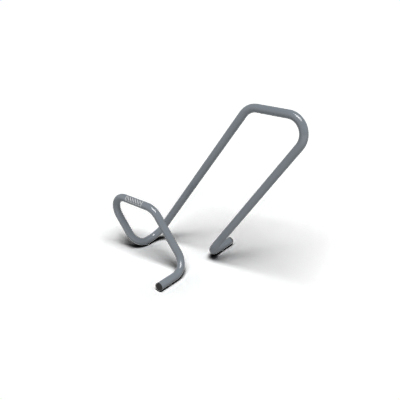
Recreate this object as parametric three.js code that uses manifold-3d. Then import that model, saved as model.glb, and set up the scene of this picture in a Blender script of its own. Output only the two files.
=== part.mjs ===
// Hoop bike rack: one steel tube bent into a low hoop and a tall hoop, joined by a base run
// on the ground. A wheel rolls in between the hoops along -X until it meets the base run.
// Lengths are in millimetres, +Z is up and the floor is at Z = 0.

import * as THREE from 'three';
import { mergeVertices } from 'three/addons/utils/BufferGeometryUtils.js';
import Module from 'manifold-3d';

const wasm = await Module();
wasm.setup();

// Tube and bends
const tubeDiameter = 33.7;
const tubeWall = 2.6;
const bendRadius = 74; // of the centreline, the same in all eight bends

// Hoops, measured between the corners where the straight centrelines would meet
const hoopWidth = 317; // along X, the same for both hoops
const baseStraight = 10.2; // left between the two bends of the base run, along Y
const lowRailRise = 252; // from the ground runs' centreline to the low rail's
const tallRailRise = 705; // from the ground runs' centreline to the tall rail's
const footLength = 174.3; // from a foot's corner to the tube's cut end
const legSlant = 33.2; // degrees, seen along Y: the low hoop slants to -X, the tall one to +X
const hoopLean = 5.9; // degrees, seen along X: each hoop leans away from the other

// Clearances
const floorGap = 5; // between the tube and the floor
const fitGap = 0.3; // between pieces that touch

// Anchor bushes, threaded sleeves let into the underside of the feet
const bushDiameter = 16;
const bushLength = 17;
const bushBore = 8.5;
const bushChamfer = 0.8;
const bushSetback = 60.3; // from the tube's cut end to the bush's axis

// Rubber foot, pushed into a hole under the middle of the base run
const rubberDiameter = 18;
const rubberRim = 1.2; // round of the edge that stands on the floor
const rubberNeckDiameter = 8;
const rubberBarbDiameter = 11;
const rubberBarbLength = 6;

// End plugs, pushed into the tube's cut ends
const plugHead = 7.9;
const plugCrown = 1.1; // rise of the head's face at its middle
const plugRound = 1.6; // round of the head's edge
const plugSkirtWall = 2.2;
const plugSkirtLength = 24;
const finCount = 3;
const finHeight = 1.8;
const finThickness = 1.6;

// Marker film, stuck round the front of the low rail
const filmFootMargin = 19.2; // from the rail's straight on the foot's side to the film's end
const filmBaseMargin = 15; // the same on the base run's side
const filmThickness = 0.4;
const filmArc = 102; // degrees round the rail
const filmTilt = 46; // degrees from the rail's top to the film's middle, towards the front

// Facets
const tubeSides = 24;
const boreSides = 16;
const turnedSides = 24;
const bendStep = 12; // degrees of bend in one facet
const arcStep = 15; // degrees of a small round in one facet
const cutOverrun = 5; // how far a cutting tool runs past what it cuts
const weldDistance = 0.0001; // vertices closer than this are one

const tubeRadius = tubeDiameter / 2;
const boreRadius = tubeRadius - tubeWall;
const boreClear = boreRadius * Math.cos(Math.PI / boreSides); // to the middle of the bore's facets
const centrelineHeight = tubeRadius + floorGap;

// Directions of the legs, rising, and what follows from them
const slantSlope = Math.tan(THREE.MathUtils.degToRad(legSlant));
const leanSlope = Math.tan(THREE.MathUtils.degToRad(hoopLean));
const lowLeg = new THREE.Vector3(-slantSlope, -leanSlope, 1);
const tallLeg = new THREE.Vector3(slantSlope, leanSlope, 1);
const baseTurn = tallLeg.angleTo(new THREE.Vector3(0, 1, 0));
const hoopSpacing = baseStraight + 2 * bendRadius * Math.tan(baseTurn / 2);

const paints = {
  coat: new THREE.MeshStandardMaterial({ color: 0x7d858d, roughness: 0.42, metalness: 0.0 }),
  plug: new THREE.MeshStandardMaterial({ color: 0x2b2b2c, roughness: 0.55, metalness: 0.0 }),
  rubber: new THREE.MeshStandardMaterial({ color: 0x161617, roughness: 0.85, metalness: 0.0 }),
  film: new THREE.MeshStandardMaterial({ color: 0xb9bcbf, roughness: 0.35, metalness: 0.0 }),
};

// Solids and meshes

function solidOf(geometry) {
  const bare = geometry.clone();
  bare.deleteAttribute('normal');
  bare.deleteAttribute('uv');
  const welded = mergeVertices(bare, weldDistance);
  const corners = welded.index.array;
  const faces = [];
  for (let i = 0; i < corners.length; i += 3) {
    const [a, b, c] = corners.slice(i, i + 3);
    if (a !== b && b !== c && c !== a) {
      faces.push(a, b, c);
    }
  }
  return new wasm.Manifold(new wasm.Mesh({
    numProp: 3,
    vertProperties: new Float32Array(welded.attributes.position.array),
    triVerts: new Uint32Array(faces),
  }));
}

function geometryOf(solid) {
  const { vertProperties, triVerts } = solid.getMesh();
  const geometry = new THREE.BufferGeometry();
  geometry.setAttribute('position', new THREE.BufferAttribute(vertProperties, 3));
  geometry.setIndex(new THREE.BufferAttribute(triVerts, 1));
  geometry.computeVertexNormals();
  return geometry;
}

function named(name, geometry, paint) {
  const mesh = new THREE.Mesh(geometry, paint);
  mesh.name = name;
  return mesh;
}

// Centreline

function rackCorners() {
  const z = centrelineHeight;
  const front = new THREE.Vector3(0, 0, z);
  const frontInner = new THREE.Vector3(-hoopWidth, 0, z);
  const rear = new THREE.Vector3(0, hoopSpacing, z);
  const rearInner = new THREE.Vector3(-hoopWidth, hoopSpacing, z);
  return [
    new THREE.Vector3(0, -footLength, z),
    front,
    front.clone().addScaledVector(lowLeg, lowRailRise),
    frontInner.clone().addScaledVector(lowLeg, lowRailRise),
    frontInner,
    rearInner,
    rearInner.clone().addScaledVector(tallLeg, tallRailRise),
    rear.clone().addScaledVector(tallLeg, tallRailRise),
    rear,
    new THREE.Vector3(0, hoopSpacing + footLength, z),
  ];
}

// The stations of one bend: equal steps of an arc that is tangent to both straights
function bendStations(before, corner, after) {
  const into = corner.clone().sub(before).normalize();
  const out = after.clone().sub(corner).normalize();
  const turn = into.angleTo(out);
  const setback = bendRadius * Math.tan(turn / 2);
  const inward = out.clone().addScaledVector(into, -into.dot(out)).normalize();
  const start = corner.clone().addScaledVector(into, -setback);
  const centre = start.clone().addScaledVector(inward, bendRadius);
  const steps = Math.ceil(THREE.MathUtils.radToDeg(turn) / bendStep);
  const stations = [];
  for (let i = 0; i <= steps; i += 1) {
    const angle = (turn * i) / steps;
    const point = centre.clone()
      .addScaledVector(inward, -bendRadius * Math.cos(angle))
      .addScaledVector(into, bendRadius * Math.sin(angle));
    const tangent = into.clone().multiplyScalar(Math.cos(angle)).addScaledVector(inward, Math.sin(angle));
    stations.push({ point, tangent });
  }
  return stations;
}

// A curve whose steps fall on chosen stations: one step for a straight, several for a bend
class StationCurve extends THREE.Curve {
  constructor(stations) {
    super();
    this.stations = stations;
  }

  getUtoTmapping(u) {
    return u;
  }

  station(t) {
    return this.stations[Math.round(t * (this.stations.length - 1))];
  }

  getPoint(t, target = new THREE.Vector3()) {
    return target.copy(this.station(t).point);
  }

  getTangent(t, target = new THREE.Vector3()) {
    return target.copy(this.station(t).tangent);
  }
}

function rackCentreline(overrun) {
  const corners = rackCorners();
  const last = corners.length - 1;
  const out = corners[last].clone().sub(corners[last - 1]).normalize();
  const into = corners[1].clone().sub(corners[0]).normalize();
  const stations = [{ point: corners[0].clone().addScaledVector(into, -overrun), tangent: into }];
  for (let i = 1; i < last; i += 1) {
    stations.push(...bendStations(corners[i - 1], corners[i], corners[i + 1]));
  }
  stations.push({ point: corners[last].clone().addScaledVector(out, overrun), tangent: out });
  return new StationCurve(stations);
}

function sweptRod(radius, sides, overrun) {
  const outline = [];
  for (let i = 0; i < sides; i += 1) {
    const angle = (2 * Math.PI * i) / sides;
    outline.push(new THREE.Vector2(radius * Math.cos(angle), radius * Math.sin(angle)));
  }
  const curve = rackCentreline(overrun);
  const section = new THREE.Shape(outline);
  const steps = curve.stations.length - 1;
  return solidOf(new THREE.ExtrudeGeometry(section, { extrudePath: curve, steps, bevelEnabled: false }));
}

// Turned pieces: a profile of [radius, height] points, revolved about Z

function turned(profile) {
  const points = profile.map(([radius, height]) => new THREE.Vector2(radius, height));
  return new THREE.LatheGeometry(points, turnedSides).rotateX(Math.PI / 2);
}

// An arc of a profile about a centre, from one angle to another in degrees
function roundOf(centreRadius, centreHeight, radius, fromAngle, toAngle) {
  const steps = Math.ceil(Math.abs(toAngle - fromAngle) / arcStep);
  const points = [];
  for (let i = 0; i <= steps; i += 1) {
    const angle = THREE.MathUtils.degToRad(fromAngle + ((toAngle - fromAngle) * i) / steps);
    points.push([centreRadius + radius * Math.cos(angle), centreHeight + radius * Math.sin(angle)]);
  }
  return points;
}

function uprightHole(diameter, x, y) {
  const height = centrelineHeight + cutOverrun;
  const cylinder = new THREE.CylinderGeometry(diameter / 2, diameter / 2, height, turnedSides);
  cylinder.rotateX(Math.PI / 2).translate(x, y, centrelineHeight - height / 2);
  return solidOf(cylinder);
}

// Places under the tube

const frontBushY = -footLength + bushSetback;
const rearBushY = hoopSpacing + footLength - bushSetback;
const rubberPlace = [-hoopWidth, hoopSpacing / 2];

// Bent tube

function bentTube() {
  const wall = sweptRod(tubeRadius, tubeSides, 0).subtract(sweptRod(boreRadius, boreSides, cutOverrun));
  const bushHole = bushDiameter + 2 * fitGap;
  const neckHole = rubberNeckDiameter + 2 * fitGap;
  const drilled = wall
    .subtract(uprightHole(bushHole, 0, frontBushY))
    .subtract(uprightHole(bushHole, 0, rearBushY))
    .subtract(uprightHole(neckHole, ...rubberPlace));
  return named('bent_tube', geometryOf(drilled), paints.coat);
}

// Anchor bushes

function anchorBush(name, y) {
  const outer = bushDiameter / 2;
  const inner = bushBore / 2;
  const bush = turned([
    [inner + bushChamfer, 0],
    [outer - bushChamfer, 0],
    [outer, bushChamfer],
    [outer, bushLength],
    [inner, bushLength],
    [inner, bushChamfer],
    [inner + bushChamfer, 0],
  ]);
  const mesh = named(name, bush, paints.coat);
  mesh.position.set(0, y, 0);
  return mesh;
}

// Rubber foot: a pad shaped to the tube's underside, with a barbed neck through the wall

function rubberFoot() {
  const pad = rubberDiameter / 2;
  const neck = rubberNeckDiameter / 2;
  const barb = rubberBarbDiameter / 2;
  const barbFoot = centrelineHeight - Math.sqrt(boreClear ** 2 - barb ** 2) + fitGap;
  const barbTop = barbFoot + rubberBarbLength;
  const padSolid = solidOf(turned([
    [0, 0],
    ...roundOf(pad - rubberRim, rubberRim, rubberRim, -90, 0),
    [pad, centrelineHeight],
    [0, centrelineHeight],
  ]));
  const neckSolid = solidOf(turned([
    [0, floorGap / 2],
    [neck, floorGap / 2],
    [neck, barbFoot],
    [barb, barbFoot],
    [barb, barbFoot + rubberBarbLength / 3],
    [neck, barbTop],
    [0, barbTop],
  ]));
  const [x, y] = rubberPlace;
  const saddle = sweptRod(tubeRadius + fitGap, tubeSides, 0).translate([-x, -y, 0]);
  const foot = padSolid.subtract(saddle).add(neckSolid);
  const mesh = named('base_rubber_foot', geometryOf(foot), paints.rubber);
  mesh.position.set(x, y, 0);
  return mesh;
}

// End plugs: a crowned head over the cut end, and a finned hollow skirt inside the bore

function plugProfile() {
  const fin = boreClear - fitGap;
  const skirt = fin - finHeight;
  const face = fitGap + plugHead;
  const rimInner = tubeRadius - plugRound;
  const rimRise = plugCrown * (rimInner / tubeRadius) ** 2;
  const crownShares = [0, 0.35, 0.6];
  const profile = crownShares.map((share) => [tubeRadius * share, -face + plugCrown * share ** 2]);
  profile.push(...roundOf(rimInner, -face + rimRise + plugRound, plugRound, -90, 0));
  profile.push([tubeRadius, -fitGap], [skirt, -fitGap]);
  const finPitch = plugSkirtLength / (finCount + 1);
  for (let i = 1; i <= finCount; i += 1) {
    const root = i * finPitch;
    profile.push([skirt, root], [fin, root], [fin, root + finThickness / 2], [skirt, root + finThickness]);
  }
  profile.push(
    [skirt, plugSkirtLength],
    [skirt - plugSkirtWall, plugSkirtLength],
    [skirt - plugSkirtWall, plugSkirtWall],
    [0, plugSkirtWall],
  );
  return profile;
}

function endPlug(name, y, turn) {
  const mesh = named(name, turned(plugProfile()), paints.plug);
  mesh.rotation.x = turn;
  mesh.position.set(0, y, centrelineHeight);
  return mesh;
}

// Marker film: a strip of arc section along the low rail's straight

function markerFilm() {
  const [, footCorner, railStart, railEnd, baseCorner] = rackCorners();
  const straightStart = bendStations(footCorner, railStart, railEnd).at(-1).point;
  const straightEnd = bendStations(railStart, railEnd, baseCorner)[0].point;
  const straightLength = straightStart.distanceTo(straightEnd);
  const filmLength = straightLength - filmFootMargin - filmBaseMargin;

  const inner = tubeRadius + fitGap;
  const outer = inner + filmThickness;
  const halfArc = filmArc / 2;
  const outline = [
    ...roundOf(0, 0, outer, -halfArc, halfArc),
    ...roundOf(0, 0, inner, halfArc, -halfArc),
  ].map(([x, y]) => new THREE.Vector2(x, y));
  const strip = new THREE.ExtrudeGeometry(new THREE.Shape(outline), {
    depth: filmLength,
    steps: 1,
    bevelEnabled: false,
  });
  strip.translate(0, 0, -filmLength / 2);

  // The strip's length lies along X, and its middle is turned from the top towards the front
  const tilt = THREE.MathUtils.degToRad(filmTilt);
  const facing = new THREE.Vector3(0, -Math.sin(tilt), Math.cos(tilt));
  const along = new THREE.Vector3(1, 0, 0);
  const across = along.clone().cross(facing);
  const middle = straightStart.clone().lerp(straightEnd, (filmFootMargin + filmLength / 2) / straightLength);
  const mesh = named('rail_marker_film', strip, paints.film);
  mesh.applyMatrix4(new THREE.Matrix4().makeBasis(facing, across, along).setPosition(middle));
  return mesh;
}

// Assembly, centred over the middle of its own outline on the floor

function hoopBikeRack() {
  const pieces = new THREE.Group();
  pieces.add(
    bentTube(),
    endPlug('front_end_plug', -footLength, -Math.PI / 2),
    endPlug('rear_end_plug', hoopSpacing + footLength, Math.PI / 2),
    anchorBush('front_anchor_bush', frontBushY),
    anchorBush('rear_anchor_bush', rearBushY),
    rubberFoot(),
    markerFilm(),
  );
  const centre = new THREE.Box3().setFromObject(pieces, true).getCenter(new THREE.Vector3());
  pieces.position.set(-centre.x, -centre.y, 0);
  const rack = new THREE.Group();
  rack.add(pieces);
  return rack;
}

export default hoopBikeRack();
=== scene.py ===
"""Looks of the hoop bike rack, in metres, in the same frame as the CAD part."""

import math

import bpy
from mathutils import Matrix, Vector


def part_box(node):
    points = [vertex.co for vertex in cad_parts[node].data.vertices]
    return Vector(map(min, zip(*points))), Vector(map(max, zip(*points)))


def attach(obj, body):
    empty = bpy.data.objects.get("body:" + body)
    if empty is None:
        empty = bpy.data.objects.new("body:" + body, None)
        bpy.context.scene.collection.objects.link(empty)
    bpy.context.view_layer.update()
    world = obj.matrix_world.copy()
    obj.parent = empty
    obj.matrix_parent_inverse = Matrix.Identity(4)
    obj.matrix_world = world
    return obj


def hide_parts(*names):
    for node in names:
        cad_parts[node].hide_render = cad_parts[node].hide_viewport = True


MM = 0.001

# The tube, as in the part's CAD source
TUBE_RADIUS = 16.85 * MM
TUBE_WALL = 2.6 * MM
BEND_RADIUS = 74 * MM
HOOP_WIDTH = 317 * MM
LOW_RISE = 252 * MM
TALL_RISE = 705 * MM
FOOT_LENGTH = 174.3 * MM
LEG_SLANT = math.tan(math.radians(33.2))
HOOP_LEAN = math.tan(math.radians(5.9))
FLOOR_GAP = 5 * MM
AXIS_HEIGHT = TUBE_RADIUS + FLOOR_GAP

# The other pieces, as in the part's CAD source, the plug's skirt and fins to within 0.02 mm
FIT_GAP = 0.3 * MM
PLUG_HEAD = 7.9 * MM
PLUG_CROWN = 1.1 * MM
PLUG_ROUND = 1.6 * MM
PLUG_SKIRT = 11.86 * MM
PLUG_FIN = 13.66 * MM
PLUG_DEPTH = 24 * MM
BUSH_RADIUS = 8 * MM
BUSH_LENGTH = 17 * MM
BUSH_CHAMFER = 0.8 * MM
THREAD_CORE = 4.25 * MM
PAD_RADIUS = 9 * MM
FILM_FOOT_MARGIN = 19.2 * MM
FILM_BASE_MARGIN = 15 * MM
FILM_ARC = math.radians(102)
FILM_TILT = math.radians(46)

# The photograph's camera, as fitted to its edges
CAMERA_PLACE = (1.1984, -1.4322, 1.1874)
CAMERA_AZIMUTH, CAMERA_ELEVATION = 39.308, 24.735
CAMERA_LENS, CAMERA_SENSOR = 43.27, 36

# The light panel: its middle's run over its height, and its half sides over its height
PANEL_SLOPE, PANEL_REACH = (0.297, -0.308), (0.342, 0.325)
PANEL_TURN = math.radians(15.3)
PANEL_HEIGHT = 40000
PANEL_RADIANCE = 10.07
CORE_STRENGTH, CORE_SPREAD = 0.2, math.radians(12)  # of the weak sun in the panel's middle

# Light from around: from below, and from the photograph's left, right and back
BOUNCE, LEFT_FILL, RIGHT_FILL, REAR_FILL = 0.46, 0.58, 0.37, 0.3
FILL_FADE, FILL_END = 0.35, 0.75  # sine of the elevation where the side light fades, and ends

# The floor: its albedo near the shadow's middle and far from it, and the radii between which
# the one turns into the other
FLOOR_HALF = 60
FLOOR_ROUGHNESS = 0.9
NEAR_ALBEDO, FAR_ALBEDO = 0.911, 0.932
NEAR_REACH, FAR_REACH = 0.7, 0.9
SHADOW_MIDDLE = (-0.05, 0.15, 0)

# The hidden strips under the ground runs: how far they reach beside a run and past its ends,
# and how far they lie below the floor
UNDER_ALBEDO = 0.41
UNDER_REACH, UNDER_PAST_END, UNDER_DEPTH = 80 * MM, 60 * MM, 0.2 * MM

# The compositor's work on the floor's shadow
SHADOW_DEPTH = 2.8  # power that the floor's brightness is raised to
THIN_SHARE, THIN_POWER = 0.51, 0.69  # a thin shade is at least this share of its power
OBJECT_LEVEL = 0.3  # brightness taken for the object in the pixels that the floor shares with it

WHITE = (1, 1, 1, 1)

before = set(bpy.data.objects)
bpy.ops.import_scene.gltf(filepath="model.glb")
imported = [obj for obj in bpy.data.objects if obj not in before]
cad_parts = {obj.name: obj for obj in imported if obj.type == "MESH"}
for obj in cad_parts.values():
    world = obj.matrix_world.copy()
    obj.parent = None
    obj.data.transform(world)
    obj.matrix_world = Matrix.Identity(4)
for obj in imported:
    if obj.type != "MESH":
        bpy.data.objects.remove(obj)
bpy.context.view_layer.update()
scene = bpy.context.scene


# ---- Camera

def look_from(place, azimuth, elevation):
    """A rotation that looks as the photograph does: azimuth 0 looks along +Y."""
    a, e = math.radians(azimuth), math.radians(elevation)
    forward = Vector((-math.sin(a) * math.cos(e), math.cos(a) * math.cos(e), -math.sin(e)))
    return Matrix.Translation(place) @ forward.to_track_quat("-Z", "Y").to_matrix().to_4x4()


def make_camera():
    data = bpy.data.cameras.new("camera")
    data.sensor_width = CAMERA_SENSOR
    data.lens = CAMERA_LENS
    data.clip_start, data.clip_end = 0.05, 200
    camera = bpy.data.objects.new("camera", data)
    camera.matrix_world = look_from(CAMERA_PLACE, CAMERA_AZIMUTH, CAMERA_ELEVATION)
    scene.collection.objects.link(camera)
    scene.camera = camera


# ---- Mesh helpers

def mesh_object(name, points, faces, materials, face_materials=None, sharp_degrees=32):
    mesh = bpy.data.meshes.new(name)
    mesh.from_pydata([tuple(p) for p in points], [], faces)
    for material in materials:
        mesh.materials.append(material)
    if face_materials is not None:
        mesh.polygons.foreach_set("material_index", face_materials)
    mesh.polygons.foreach_set("use_smooth", [True] * len(mesh.polygons))
    mesh.set_sharp_from_angle(angle=math.radians(sharp_degrees))
    mesh.update()
    made = bpy.data.objects.new(name, mesh)
    scene.collection.objects.link(made)
    return made


def set_uvs(made, uvs):
    """Gives each point of an object's mesh its place in a new UV map."""
    layer = made.data.uv_layers.new(name="UVMap")
    for loop in made.data.loops:
        layer.data[loop.index].uv = uvs[loop.vertex_index]


def grid_faces(rows, columns, wrap_rows=False, wrap_columns=False, first=0, flip=False):
    """Quads of a grid of points that are numbered row by row."""
    faces = []
    for i in range(rows if wrap_rows else rows - 1):
        for j in range(columns if wrap_columns else columns - 1):
            a = first + i * columns + j
            b = first + i * columns + (j + 1) % columns
            c = first + ((i + 1) % rows) * columns + (j + 1) % columns
            d = first + ((i + 1) % rows) * columns + j
            faces.append((a, d, c, b) if flip else (a, b, c, d))
    return faces


def on_circle(radius, k, sides):
    """The k-th corner of a circle about the origin that is cut into sides."""
    turn = 2 * math.pi * k / sides
    return radius * math.cos(turn), radius * math.sin(turn)


def lathe(profile, sides=96):
    """Points and faces of (radius, height) points revolved about Z. A radius of 0 closes an end."""
    points, faces, rings = [], [], []
    for radius, height in profile:
        if radius == 0:
            rings.append([len(points)] * sides)
            points.append((0, 0, height))
        else:
            rings.append(list(range(len(points), len(points) + sides)))
            points += [(*on_circle(radius, k, sides), height) for k in range(sides)]
    for low, high in zip(rings[:-1], rings[1:]):
        for k in range(sides):
            after = (k + 1) % sides
            loop = [low[k], low[after], high[after], high[k]]
            face = [v for n, v in enumerate(loop) if v not in loop[:n]]
            if len(face) > 2:
                faces.append(face)
    return points, faces


def arc(centre, radius, start, end, steps):
    """Points of a round in a profile, from one angle to another in degrees."""
    turns = [math.radians(start + (end - start) * i / steps) for i in range(steps + 1)]
    return [(centre[0] + radius * math.cos(t), centre[1] + radius * math.sin(t)) for t in turns]


def ride(piece, slot, *nodes):
    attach(piece, "root")
    if nodes:
        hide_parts(*nodes)


# ---- Centreline of the bent tube

def box_middle(node):
    low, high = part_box(node)
    return (low + high) / 2


FOOT_X = box_middle("front_anchor_bush").x
FRONT_BUSH_Y = box_middle("front_anchor_bush").y
REAR_BUSH_Y = box_middle("rear_anchor_bush").y
TUBE_END_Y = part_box("bent_tube")[1].y
HOOP_Y = TUBE_END_Y - FOOT_LENGTH  # of the ground corners, on both sides of the middle


def rack_corners():
    """The centreline's corners, from the front foot's end to the rear foot's end.

    0 to 1 is the front foot, 1 to 4 the low hoop, 4 to 5 the base run, 5 to 8 the tall hoop
    and 8 to 9 the rear foot.
    """
    low_leg = Vector((-LEG_SLANT, -HOOP_LEAN, 1)) * LOW_RISE
    tall_leg = Vector((LEG_SLANT, HOOP_LEAN, 1)) * TALL_RISE
    front = Vector((FOOT_X, -HOOP_Y, AXIS_HEIGHT))
    rear = Vector((FOOT_X, HOOP_Y, AXIS_HEIGHT))
    across = Vector((-HOOP_WIDTH, 0, 0))
    return [
        Vector((FOOT_X, -TUBE_END_Y, AXIS_HEIGHT)),
        front,
        front + low_leg,
        front + across + low_leg,
        front + across,
        rear + across,
        rear + across + tall_leg,
        rear + tall_leg,
        rear,
        Vector((FOOT_X, TUBE_END_Y, AXIS_HEIGHT)),
    ]


def bend(before, corner, after, step=3.0):
    """(point, direction) pairs along one bend of the centreline, about step degrees apart."""
    into, out = (corner - before).normalized(), (after - corner).normalized()
    turn = into.angle(out)
    inward = (out - into * into.dot(out)).normalized()
    start = corner - into * (BEND_RADIUS * math.tan(turn / 2))
    centre = start + inward * BEND_RADIUS
    steps = math.ceil(math.degrees(turn) / step)
    made = []
    for i in range(steps + 1):
        c, s = math.cos(turn * i / steps), math.sin(turn * i / steps)
        point = centre - inward * (BEND_RADIUS * c) + into * (BEND_RADIUS * s)
        made.append((point, into * c + inward * s))
    return made


def rack_line():
    """(point, direction) pairs along the whole centreline."""
    corners = rack_corners()
    line = [(corners[0], (corners[1] - corners[0]).normalized())]
    for i in range(1, len(corners) - 1):
        line += bend(*corners[i - 1:i + 2])
    line.append((corners[-1], (corners[-1] - corners[-2]).normalized()))
    return line


def rings_along(line, radius, sides):
    """Rings of points square to the line, turned as little as possible from one to the next."""
    side = line[0][1].cross(Vector((0, 0, 1))).normalized()
    spots = [on_circle(radius, k, sides) for k in range(sides)]
    rings, before = [], line[0][1]
    for point, direction in line:
        side = before.rotation_difference(direction) @ side
        side = (side - direction * side.dot(direction)).normalized()
        other = direction.cross(side)
        before = direction
        rings.append([point + side * x + other * y for x, y in spots])
    return rings


# ---- Materials

class Nodes:
    """A short way to write a node tree."""

    def __init__(self, tree, family="ShaderNode"):
        self.tree, self.family = tree, family

    def add(self, kind, settings=None, **inputs):
        """A new node. An input is named by its socket's name, or by its number after an i."""
        node = self.tree.nodes.new(self.family + kind)
        for key, value in (settings or {}).items():
            setattr(node, key, value)
        for key, value in inputs.items():
            self.feed(node, key, value)
        return node

    def feed(self, node, key, value):
        numbered = key[0] == "i" and key[1:].isdigit()
        socket = node.inputs[int(key[1:]) if numbered else key.replace("_", " ")]
        if isinstance(value, bpy.types.NodeSocket):
            self.tree.links.new(value, socket)
        else:
            socket.default_value = value

    def place(self, kind="Object"):
        return self.add("TexCoord").outputs[kind]

    def axes(self, vector):
        return self.add("SeparateXYZ", Vector=vector).outputs

    def noise(self, where, scale, detail=3.0, roughness=0.55):
        inputs = {"Vector": where, "Scale": scale, "Detail": detail, "Roughness": roughness}
        return self.add("TexNoise", **inputs).outputs["Fac"]

    def span(self, value, low, high, to_low, to_high):
        inputs = {"i0": value, "i1": low, "i2": high, "i3": to_low, "i4": to_high}
        return self.add("MapRange", **inputs).outputs[0]

    def calc(self, operation, *values):
        inputs = {f"i{k}": value for k, value in enumerate(values)}
        return self.add("Math", {"operation": operation}, **inputs).outputs[0]

    def blend(self, share, one, two):
        return self.add("Mix", {"data_type": "RGBA"}, i0=share, i6=one, i7=two).outputs[2]

    def bump(self, height, distance, normal=None):
        inputs = {"Height": height, "Distance": distance, "Strength": 1.0}
        if normal is not None:
            inputs["Normal"] = normal
        return self.add("Bump", **inputs).outputs[0]


class Finish(Nodes):
    """The node tree of a new material."""

    def __init__(self, name):
        self.material = bpy.data.materials.new(name)
        self.material.use_nodes = True
        super().__init__(self.material.node_tree)
        self.shader = self.tree.nodes["Principled BSDF"]

    def set(self, **inputs):
        """Sets or links the shader's inputs."""
        for key, value in inputs.items():
            self.feed(self.shader, key, value)

    def cover(self, share):
        """Shows the surface by this share, and what is behind it by the rest."""
        clear = self.add("BsdfTransparent").outputs["BSDF"]
        mixed = self.add("MixShader", i0=share, i1=clear, i2=self.shader.outputs["BSDF"])
        self.feed(self.tree.nodes["Material Output"], "Surface", mixed.outputs["Shader"])


def srgb(red, green, blue):
    """A colour of 0 to 255 as the shader's linear values."""
    def linear(level):
        c = level / 255
        return ((c + 0.055) / 1.055) ** 2.4 if level > 10.31 else c / 12.92
    return (linear(red), linear(green), linear(blue), 1.0)


def coat_material():
    """Bluish grey powder coat: fine orange peel, faint blotches, and rain dust near the ground."""
    n = Finish("powder_coat")
    where = n.place()
    blotch = n.span(n.noise(where, 14.0, 3.0, 0.5), 0.3, 0.7, 0.0, 1.0)
    fleck = n.span(n.noise(where, 900.0, 2.0, 0.6), 0.35, 0.65, 0.0, 0.35)
    dust_height, dust_share = 0.02, 0.30
    low_down = n.span(n.axes(where)["Z"], 0.0, dust_height, dust_share, 0.0)
    patches = n.span(n.noise(where, 60.0, 4.0, 0.6), 0.35, 0.7, 0.2, 1.0)
    dust = n.calc("MULTIPLY", low_down, patches)
    base = n.blend(blotch, srgb(122, 129, 136), srgb(128, 135, 142))
    base = n.blend(fleck, base, srgb(112, 119, 125))
    base = n.blend(dust, base, srgb(104, 101, 96))
    gloss = n.span(n.noise(where, 35.0, 3.0, 0.6), 0.3, 0.7, 0.10, 0.15)
    rough = n.calc("ADD", gloss, n.calc("MULTIPLY", dust, 0.5))
    grain = n.bump(n.noise(where, 1600.0, 2.0, 0.5), 0.012 * MM)
    peel = n.bump(n.noise(where, 420.0, 2.0, 0.45), 0.03 * MM, grain)
    n.set(Base_Color=base, Roughness=rough, Normal=peel, IOR=1.57)
    return n.material


def plug_material():
    """Black moulded polyethylene with a fine spark-eroded grain."""
    n = Finish("black_polyethylene")
    where = n.place()
    cloud = n.span(n.noise(where, 120.0, 3.0, 0.6), 0.3, 0.7, 0.0, 1.0)
    n.set(
        Base_Color=n.blend(cloud, srgb(22, 22, 23), srgb(30, 30, 31)),
        Roughness=n.span(n.noise(where, 260.0), 0.3, 0.7, 0.42, 0.58),
        Normal=n.bump(n.noise(where, 2200.0, 3.0, 0.65), 0.03 * MM),
    )
    return n.material


def rubber_material():
    """Black rubber, greyed by dust in patches."""
    n = Finish("black_rubber")
    where = n.place()
    dust = n.span(n.noise(where, 300.0, 4.0, 0.65), 0.45, 0.75, 0.0, 0.5)
    n.set(
        Base_Color=n.blend(dust, srgb(24, 24, 25), srgb(50, 49, 48)),
        Roughness=n.span(n.noise(where, 500.0), 0.3, 0.7, 0.72, 0.92),
        Normal=n.bump(n.noise(where, 1500.0, 3.0, 0.6), 0.05 * MM),
    )
    return n.material


def steel_material():
    """Bare steel of the threads, oiled and a little dull."""
    n = Finish("thread_steel")
    where = n.place()
    stain = n.span(n.noise(where, 400.0, 4.0, 0.6), 0.4, 0.7, 0.0, 1.0)
    n.set(
        Base_Color=n.blend(stain, srgb(168, 166, 162), srgb(120, 112, 104)),
        Metallic=1.0,
        Roughness=n.span(stain, 0.0, 1.0, 0.3, 0.5),
        Normal=n.bump(n.noise(where, 3000.0, 2.0, 0.6), 0.01 * MM),
    )
    return n.material


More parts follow.
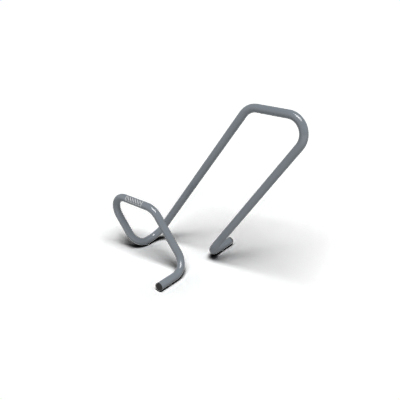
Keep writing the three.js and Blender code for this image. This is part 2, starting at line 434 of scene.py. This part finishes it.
def film_material(length, width):
    """Film in the coat's grey, printed in light grey with a border and slanting bars.

    UV is in metres: along the rail, and up from the film's lower edge.
    """
    n = Finish("marker_film")
    uv = n.axes(n.place("UV"))
    u, v = uv["X"], uv["Y"]
    off_middle = n.calc("ABSOLUTE", n.calc("SUBTRACT", u, length / 2))
    from_end = n.calc("SUBTRACT", length / 2, off_middle)
    from_top = n.calc("SUBTRACT", width, v)
    soft = 0.35 * MM  # half the width in which a print's edge fades

    def beyond(inset, start):
        return n.span(inset, start - soft, start + soft, 0.0, 1.0)

    def field(end, low, top):
        """1 further in than these distances from the film's ends, lower and upper edge."""
        across = n.calc("MINIMUM", beyond(v, low), beyond(from_top, top))
        return n.calc("MINIMUM", beyond(from_end, end), across)

    margin, clear = 1.2 * MM, 3.2 * MM  # bare rim outside the border, and bare strip inside it
    end, low, top = 5.2 * MM, 4.4 * MM, 2.2 * MM  # the border's inner edge
    inside = n.calc("SUBTRACT", 1.0, field(end, low, top))
    border = n.calc("MULTIPLY", field(margin, margin, margin), inside)
    pitch, bar_width, slant = 15.6 * MM, 6.4 * MM, 1.05
    run = n.calc("ADD", u, n.calc("MULTIPLY", v, slant))
    place = n.calc("MULTIPLY", n.calc("FRACT", n.calc("DIVIDE", run, pitch)), pitch)
    bar_end = n.span(place, bar_width - soft, bar_width + soft, 1.0, 0.0)
    bars = n.calc("MULTIPLY", beyond(place, soft), bar_end)
    bars = n.calc("MULTIPLY", field(end + clear, low + clear, top + clear), bars)
    printed = n.calc("MAXIMUM", border, bars)

    where = n.place()
    mottle = n.span(n.noise(where, 500.0, 3.0, 0.6), 0.3, 0.7, 0.0, 1.0)
    ground = n.blend(mottle, srgb(110, 114, 119), srgb(118, 122, 127))
    ink = n.blend(mottle, srgb(190, 192, 194), srgb(202, 204, 206))
    n.set(
        Base_Color=n.blend(printed, ground, ink),
        Roughness=n.span(n.noise(where, 90.0, 3.0, 0.6), 0.3, 0.7, 0.28, 0.4),
        Normal=n.bump(printed, 0.03 * MM, n.bump(n.noise(where, 700.0), 0.01 * MM)),
    )
    return n.material


# ---- Pieces

def make_tube(coat):
    """The tube's outer skin, its bore and its two cut ends, each with a small broken edge."""
    sides, chamfer = 72, 0.45 * MM
    line = rack_line()
    (start, start_way), (end, end_way) = line[0], line[-1]
    shell = [(start, start_way), (start + start_way * chamfer, start_way)]
    shell += line[1:-1] + [(end - end_way * chamfer, end_way), (end, end_way)]
    outer = rings_along(shell, TUBE_RADIUS, sides)
    for ring, (point, _) in ((outer[0], shell[0]), (outer[-1], shell[-1])):
        for k, p in enumerate(ring):
            ring[k] = point + (p - point) * ((TUBE_RADIUS - chamfer) / TUBE_RADIUS)
    rings = outer + rings_along(shell, TUBE_RADIUS - TUBE_WALL, sides)[::-1]
    points = [p for ring in rings for p in ring]
    faces = grid_faces(len(rings), sides, wrap_rows=True, wrap_columns=True)
    ride(mesh_object("tube_body", points, faces, [coat]), "tube_coat", "bent_tube")


def plug_profile():
    """(radius, height) points of a plug. The tube's cut end is at 0, and its bore above it."""
    face = -FIT_GAP - PLUG_HEAD

    def crowned(share):
        """A point of the crowned face, at this share of the tube's radius."""
        return TUBE_RADIUS * share, face + PLUG_CROWN * share * share

    gate, gate_floor, gate_depth = 1.6 * MM, 1.28 * MM, 0.25 * MM
    profile = [(0, face + gate_depth), (gate_floor, face + gate_depth)]
    profile.append(crowned(gate / TUBE_RADIUS))
    first_share, rim_share, steps = 0.2, 1 - PLUG_ROUND / TUBE_RADIUS, 11
    for i in range(steps):
        profile.append(crowned(first_share + (rim_share - first_share) * i / steps))
    rim, rim_height = crowned(rim_share)
    profile += arc((rim, rim_height + PLUG_ROUND), PLUG_ROUND, -90, 0, 14)
    lip = 0.35 * MM
    profile += [(TUBE_RADIUS, -FIT_GAP - lip), (TUBE_RADIUS - lip, -FIT_GAP)]
    profile.append((PLUG_SKIRT, -FIT_GAP))
    fin_flat, fin_foot = 0.8 * MM, 1.6 * MM
    for root in (6 * MM, 12 * MM, 18 * MM):
        profile += [(PLUG_SKIRT, root), (PLUG_FIN, root)]
        profile += [(PLUG_FIN, root + fin_flat), (PLUG_SKIRT, root + fin_foot)]
    wall = 2.2 * MM
    inner = PLUG_SKIRT - wall
    return profile + [(PLUG_SKIRT, PLUG_DEPTH), (inner, PLUG_DEPTH), (inner, wall), (0, wall)]


def make_plug(name, node, end_y, turn, plastic):
    """A crowned cap with a rounded rim and a gate mark, and the finned skirt inside the bore."""
    plug = mesh_object(name, *lathe(plug_profile()), [plastic])
    place = Matrix.Translation((FOOT_X, end_y, AXIS_HEIGHT))
    plug.matrix_world = place @ Matrix.Rotation(turn, 4, "X")
    ride(plug, "plug_plastic", node)


def tube_underside(x_off):
    """Height of a ground run's underside, off its axis by x_off."""
    return AXIS_HEIGHT - math.sqrt(TUBE_RADIUS ** 2 - x_off ** 2)


def make_bush(name, node, y, coat, steel):
    """A turned sleeve with a real thread in its bore."""
    mouth, clear = THREAD_CORE + BUSH_CHAMFER, 0.1 * MM
    profile = [(mouth, BUSH_LENGTH), (BUSH_RADIUS, BUSH_LENGTH)]
    profile += arc((BUSH_RADIUS - BUSH_CHAMFER, BUSH_CHAMFER), BUSH_CHAMFER, 0, -90, 6)
    profile.append((mouth + clear, 0))
    points, faces = lathe(profile)
    marks = [0] * len(faces)

    depth, pitch = 0.72 * MM, 1.5 * MM
    flank = 2.4  # depths that a groove's side would rise in one pitch
    sides, rows_per_turn = 48, 8
    rows = int(BUSH_LENGTH / pitch * rows_per_turn)
    thread = grid_faces(rows + 1, sides, wrap_columns=True, first=len(points), flip=True)
    for i in range(rows + 1):
        z = BUSH_LENGTH * i / rows
        for k in range(sides):
            phase = (z / pitch - k / sides) % 1.0
            groove = depth * max(0.0, 1 - abs(phase - 0.5) * flank)
            radius = THREAD_CORE + max(groove, BUSH_CHAMFER - z)
            points.append((*on_circle(radius, k, sides), z))
    marks += [1] * len(thread)
    bush = mesh_object(name, points, faces + thread, [coat, steel], marks)
    bush.matrix_world = Matrix.Translation((FOOT_X, y, 0))
    ride(bush, "tube_coat", node)


def make_weld(name, y, coat):
    """A rippled bead round the bush, where it meets the tube's underside."""
    steps, sides, bead, ripples = 264, 14, 1.6 * MM, 33
    path, sink = BUSH_RADIUS + 0.35 * MM, 0.1 * MM
    ripple, waver = 0.10, 0.05  # how far the bead swells, ripple by ripple and round the bush
    points = []
    for i in range(steps):
        t = 2 * math.pi * i / steps
        out = Vector((math.cos(t), math.sin(t), 0))
        centre = out * path
        centre.z = tube_underside(centre.x) - sink
        swell = 1 + ripple * math.cos(ripples * t + 0.8 * math.sin(3 * t))
        swell += waver * math.sin(5 * t + 1)
        for k in range(sides):
            away, up = on_circle(bead * swell, k, sides)
            points.append(centre + out * away + Vector((0, 0, up)))
    faces = grid_faces(steps, sides, wrap_rows=True, wrap_columns=True, flip=True)
    weld = mesh_object(name, points, faces, [coat], sharp_degrees=60)
    weld.matrix_world = Matrix.Translation((FOOT_X, y, 0))
    ride(weld, "tube_coat")


def make_rubber_foot(rubber):
    """A puck under the base run, its top shaped to the tube, with a moulded ring underneath."""
    sides, side_rows, overlap = 96, 5, 0.2 * MM
    hollow, groove, edge = 0.7 * MM, 0.35 * MM, 1.2 * MM
    profile = [(3.2 * MM, hollow), (3.6 * MM, 0), (5.6 * MM, 0)]
    profile += [(5.9 * MM, groove), (6.4 * MM, groove), (6.7 * MM, 0)]
    profile += arc((PAD_RADIUS - edge, edge), edge, -90, 0, 8)
    points = [(0, 0, hollow)]
    for radius, height in profile:
        points += [(*on_circle(radius, k, sides), height) for k in range(sides)]
    low = profile[-1][1]
    for i in range(1, side_rows + 1):
        for k in range(sides):
            x, y = on_circle(PAD_RADIUS, k, sides)
            top = tube_underside(x) + overlap
            points.append((x, y, low + (top - low) * i / side_rows))
    faces = [(0, 1 + (k + 1) % sides, 1 + k) for k in range(sides)]
    faces += grid_faces(len(profile) + side_rows, sides, wrap_columns=True, first=1)
    foot = mesh_object("rubber_puck", points, faces, [rubber])
    middle = box_middle("base_rubber_foot")
    foot.matrix_world = Matrix.Translation((middle.x, middle.y, 0))
    ride(foot, "foot_rubber", "base_rubber_foot")


def make_film():
    """The marker film on the low rail, a thin sheet with round corners."""
    corners = rack_corners()
    start = bend(*corners[1:4])[-1][0]
    end = bend(*corners[2:5])[0][0]
    along = (end - start).normalized()
    length = (end - start).length - FILM_FOOT_MARGIN - FILM_BASE_MARGIN
    middle = start + along * (FILM_FOOT_MARGIN + length / 2)
    radius, thickness = TUBE_RADIUS + FIT_GAP, 0.35 * MM
    width = radius * FILM_ARC
    corner, rows, columns = 5 * MM, 40, 60
    face, back, uvs = [], [], []
    for i in range(rows + 1):
        v = width * i / rows
        angle = FILM_TILT + FILM_ARC / 2 - v / radius  # from the rail's top towards the front
        out = Vector((0, -math.sin(angle), math.cos(angle)))
        near = corner - min(v, width - v)
        cut = 0 if near <= 0 else corner - math.sqrt(max(corner ** 2 - near ** 2, 0))
        for j in range(columns + 1):
            u = cut + (length - 2 * cut) * j / columns
            point = middle + along * (length / 2 - u) + out * radius
            face.append(point)
            back.append(point - out * thickness)
            uvs.append((u, v))
    count = len(face)
    faces = grid_faces(rows + 1, columns + 1)
    rim = list(range(columns + 1))
    rim += [i * (columns + 1) + columns for i in range(1, rows + 1)]
    rim += [rows * (columns + 1) + j for j in range(columns - 1, -1, -1)]
    rim += [i * (columns + 1) for i in range(rows - 1, 0, -1)]
    faces += [(b, a, a + count, b + count) for a, b in zip([rim[-1]] + rim[:-1], rim)]
    film = mesh_object("marker_film_sheet", face + back, faces, [film_material(length, width)])
    set_uvs(film, uvs + uvs)
    ride(film, "marker_film", "rail_marker_film")


# ---- Floor

def floor_finish(name):
    n = Finish(name)
    n.set(Roughness=FLOOR_ROUGHNESS, Specular_IOR_Level=0.0)
    return n


def make_floor():
    """A pale floor, a little whiter outside the shadow, that only the camera sees.

    It is see-through from below, and light from below passes through it to the rack.
    """
    n = floor_finish("studio_floor")
    off = n.add("VectorMath", {"operation": "DISTANCE"}, i0=n.place(), i1=SHADOW_MIDDLE)
    off = off.outputs["Value"]
    n.set(Base_Color=n.span(off, NEAR_REACH, FAR_REACH, NEAR_ALBEDO, FAR_ALBEDO))
    n.cover(n.calc("SUBTRACT", 1.0, n.add("NewGeometry").outputs["Backfacing"]))
    points = [(x * FLOOR_HALF, y * FLOOR_HALF, 0) for x, y in ((-1, -1), (1, -1), (1, 1), (-1, 1))]
    floor = mesh_object("floor", points, [(0, 1, 2, 3)], [n.material])
    floor.visible_diffuse = floor.visible_glossy = False
    floor.visible_transmission = floor.visible_shadow = False
    return floor


def make_floor_under_runs():
    """Strips close under the ground runs that stand for the shaded floor there.

    They darken the runs' undersides. The camera doesn't see them, and they fade out at the rim.
    """
    n = floor_finish("floor_under_runs")
    n.set(Base_Color=(UNDER_ALBEDO, UNDER_ALBEDO, UNDER_ALBEDO, 1.0))
    off = n.axes(n.place("UV"))
    fade_beside, fade_past = 0.4, 0.7  # where the fade starts, as shares of the reach
    beside = n.span(n.calc("ABSOLUTE", off["X"]), fade_beside, 1.0, 1.0, 0.0)
    past = n.span(n.calc("ABSOLUTE", off["Y"]), fade_past, 1.0, 1.0, 0.0)
    n.cover(n.calc("MULTIPLY", beside, past))
    corners = rack_corners()
    points, faces, uvs = [], [], []
    for first in (0, 4, 8):  # the front foot, the base run and the rear foot
        start, end = corners[first:first + 2]
        middle = (start + end) / 2
        reach = abs(end.y - start.y) / 2 + UNDER_PAST_END
        for x, y in ((-1, -1), (1, -1), (1, 1), (-1, 1)):
            points.append((middle.x + x * UNDER_REACH, middle.y + y * reach, -UNDER_DEPTH))
            uvs.append((x, y))
        faces.append(tuple(range(len(points) - 4, len(points))))
    shade = mesh_object("floor_under_runs", points, faces, [n.material])
    set_uvs(shade, uvs)
    shade.visible_camera = shade.visible_transmission = shade.visible_shadow = False


# ---- Light

def make_world():
    """Light from below as off a white floor, weak light from the sides, and a white backdrop."""
    world = bpy.data.worlds.new("studio")
    world.use_nodes = True
    scene.world = world
    n = Nodes(world.node_tree)
    x, y, z = n.axes(n.place("Generated"))
    front = n.calc("MULTIPLY", n.calc("SUBTRACT", x, y), math.sqrt(0.5))
    right = n.calc("MULTIPLY", n.calc("ADD", x, y), math.sqrt(0.5))
    bounce = n.calc("MAXIMUM", n.calc("MULTIPLY_ADD", front, BOUNCE, BOUNCE), REAR_FILL)
    bounce = n.calc("MULTIPLY", n.calc("LESS_THAN", z, 0.0), bounce)
    right_fill = n.calc("MULTIPLY", right, RIGHT_FILL)
    left_fill = n.calc("MULTIPLY", right, -LEFT_FILL)
    rear_fill = n.calc("MULTIPLY", front, -REAR_FILL)
    sides = n.calc("MAXIMUM", n.calc("MAXIMUM", right_fill, left_fill), rear_fill)
    sides = n.calc("MULTIPLY", sides, n.span(z, FILL_FADE, FILL_END, 1.0, 0.0))
    sides = n.calc("MULTIPLY", n.calc("GREATER_THAN", z, 0.0), sides)
    backdrop = n.add("LightPath").outputs["Is Camera Ray"]
    background = world.node_tree.nodes["Background"]
    n.feed(background, "Color", WHITE)
    n.feed(background, "Strength", n.calc("MAXIMUM", backdrop, n.calc("ADD", bounce, sides)))


def make_panel():
    """A level panel of light, so far overhead that it lights the whole floor alike."""
    data = bpy.data.lights.new("panel", "AREA")
    data.shape = "RECTANGLE"
    data.size, data.size_y = (2 * reach * PANEL_HEIGHT for reach in PANEL_REACH)
    data.energy = PANEL_RADIANCE * math.pi * data.size * data.size_y
    lamp = bpy.data.objects.new("panel", data)
    lamp.location = [part * PANEL_HEIGHT for part in (*PANEL_SLOPE, 1)]
    lamp.rotation_euler = (0, 0, PANEL_TURN)
    scene.collection.objects.link(lamp)


def make_core():
    """The panel's brighter middle."""
    data = bpy.data.lights.new("core", "SUN")
    data.energy = CORE_STRENGTH
    data.angle = CORE_SPREAD
    lamp = bpy.data.objects.new("core", data)
    lamp.rotation_mode = "QUATERNION"
    lamp.rotation_quaternion = Vector((*PANEL_SLOPE, 1)).to_track_quat("Z", "Y")
    scene.collection.objects.link(lamp)


def deepen_shadow(floor):
    """Gives the floor's shadow the depth that it has in the photograph.

    The object's own shades stay as they are.
    """
    scene.view_layers[0].use_pass_cryptomatte_object = True
    scene.use_nodes = True
    scene.node_tree.nodes.clear()
    n = Nodes(scene.node_tree, "CompositorNode")
    picture = n.add("RLayers").outputs["Image"]
    settings = {"source": "RENDER", "scene": scene, "matte_id": floor.name}
    share = n.add("CryptomatteV2", settings, Image=picture).outputs["Matte"]

    def mix(how, one, two, by=1.0, clamp=False):
        settings = {"blend_type": how, "use_clamp": clamp}
        return n.add("MixRGB", settings, i0=by, i1=one, i2=two).outputs["Image"]

    def power(image, exponent):
        return n.add("Gamma", Image=image, Gamma=exponent).outputs["Image"]

    object_part = n.calc("MULTIPLY", n.calc("SUBTRACT", 1.0, share), OBJECT_LEVEL)
    floor_part = mix("SUBTRACT", picture, object_part)
    some = n.calc("MAXIMUM", share, 0.001)  # never 0, as it divides
    plain = mix("DIVIDE", floor_part, some, clamp=True)
    shade = mix("SUBTRACT", WHITE, plain)
    thin = mix("MULTIPLY", power(shade, THIN_POWER), (THIN_SHARE, THIN_SHARE, THIN_SHARE, 1))
    shade = mix("LIGHTEN", shade, thin)
    deep = power(mix("SUBTRACT", WHITE, shade, clamp=True), SHADOW_DEPTH)
    n.add("Composite", Image=mix("ADD", picture, mix("SUBTRACT", deep, plain), by=share))


make_camera()
scene.view_settings.view_transform = "Standard"

coat = coat_material()
plastic = plug_material()
rubber = rubber_material()
steel = steel_material()

make_tube(coat)
make_plug("front_plug_cap", "front_end_plug", -TUBE_END_Y, -math.pi / 2, plastic)
make_plug("rear_plug_cap", "rear_end_plug", TUBE_END_Y, math.pi / 2, plastic)
make_bush("front_bush_sleeve", "front_anchor_bush", FRONT_BUSH_Y, coat, steel)
make_bush("rear_bush_sleeve", "rear_anchor_bush", REAR_BUSH_Y, coat, steel)
make_weld("front_bush_weld", FRONT_BUSH_Y, coat)
make_weld("rear_bush_weld", REAR_BUSH_Y, coat)
make_rubber_foot(rubber)
make_film()
deepen_shadow(make_floor())
make_floor_under_runs()
make_world()
make_panel()
make_core()
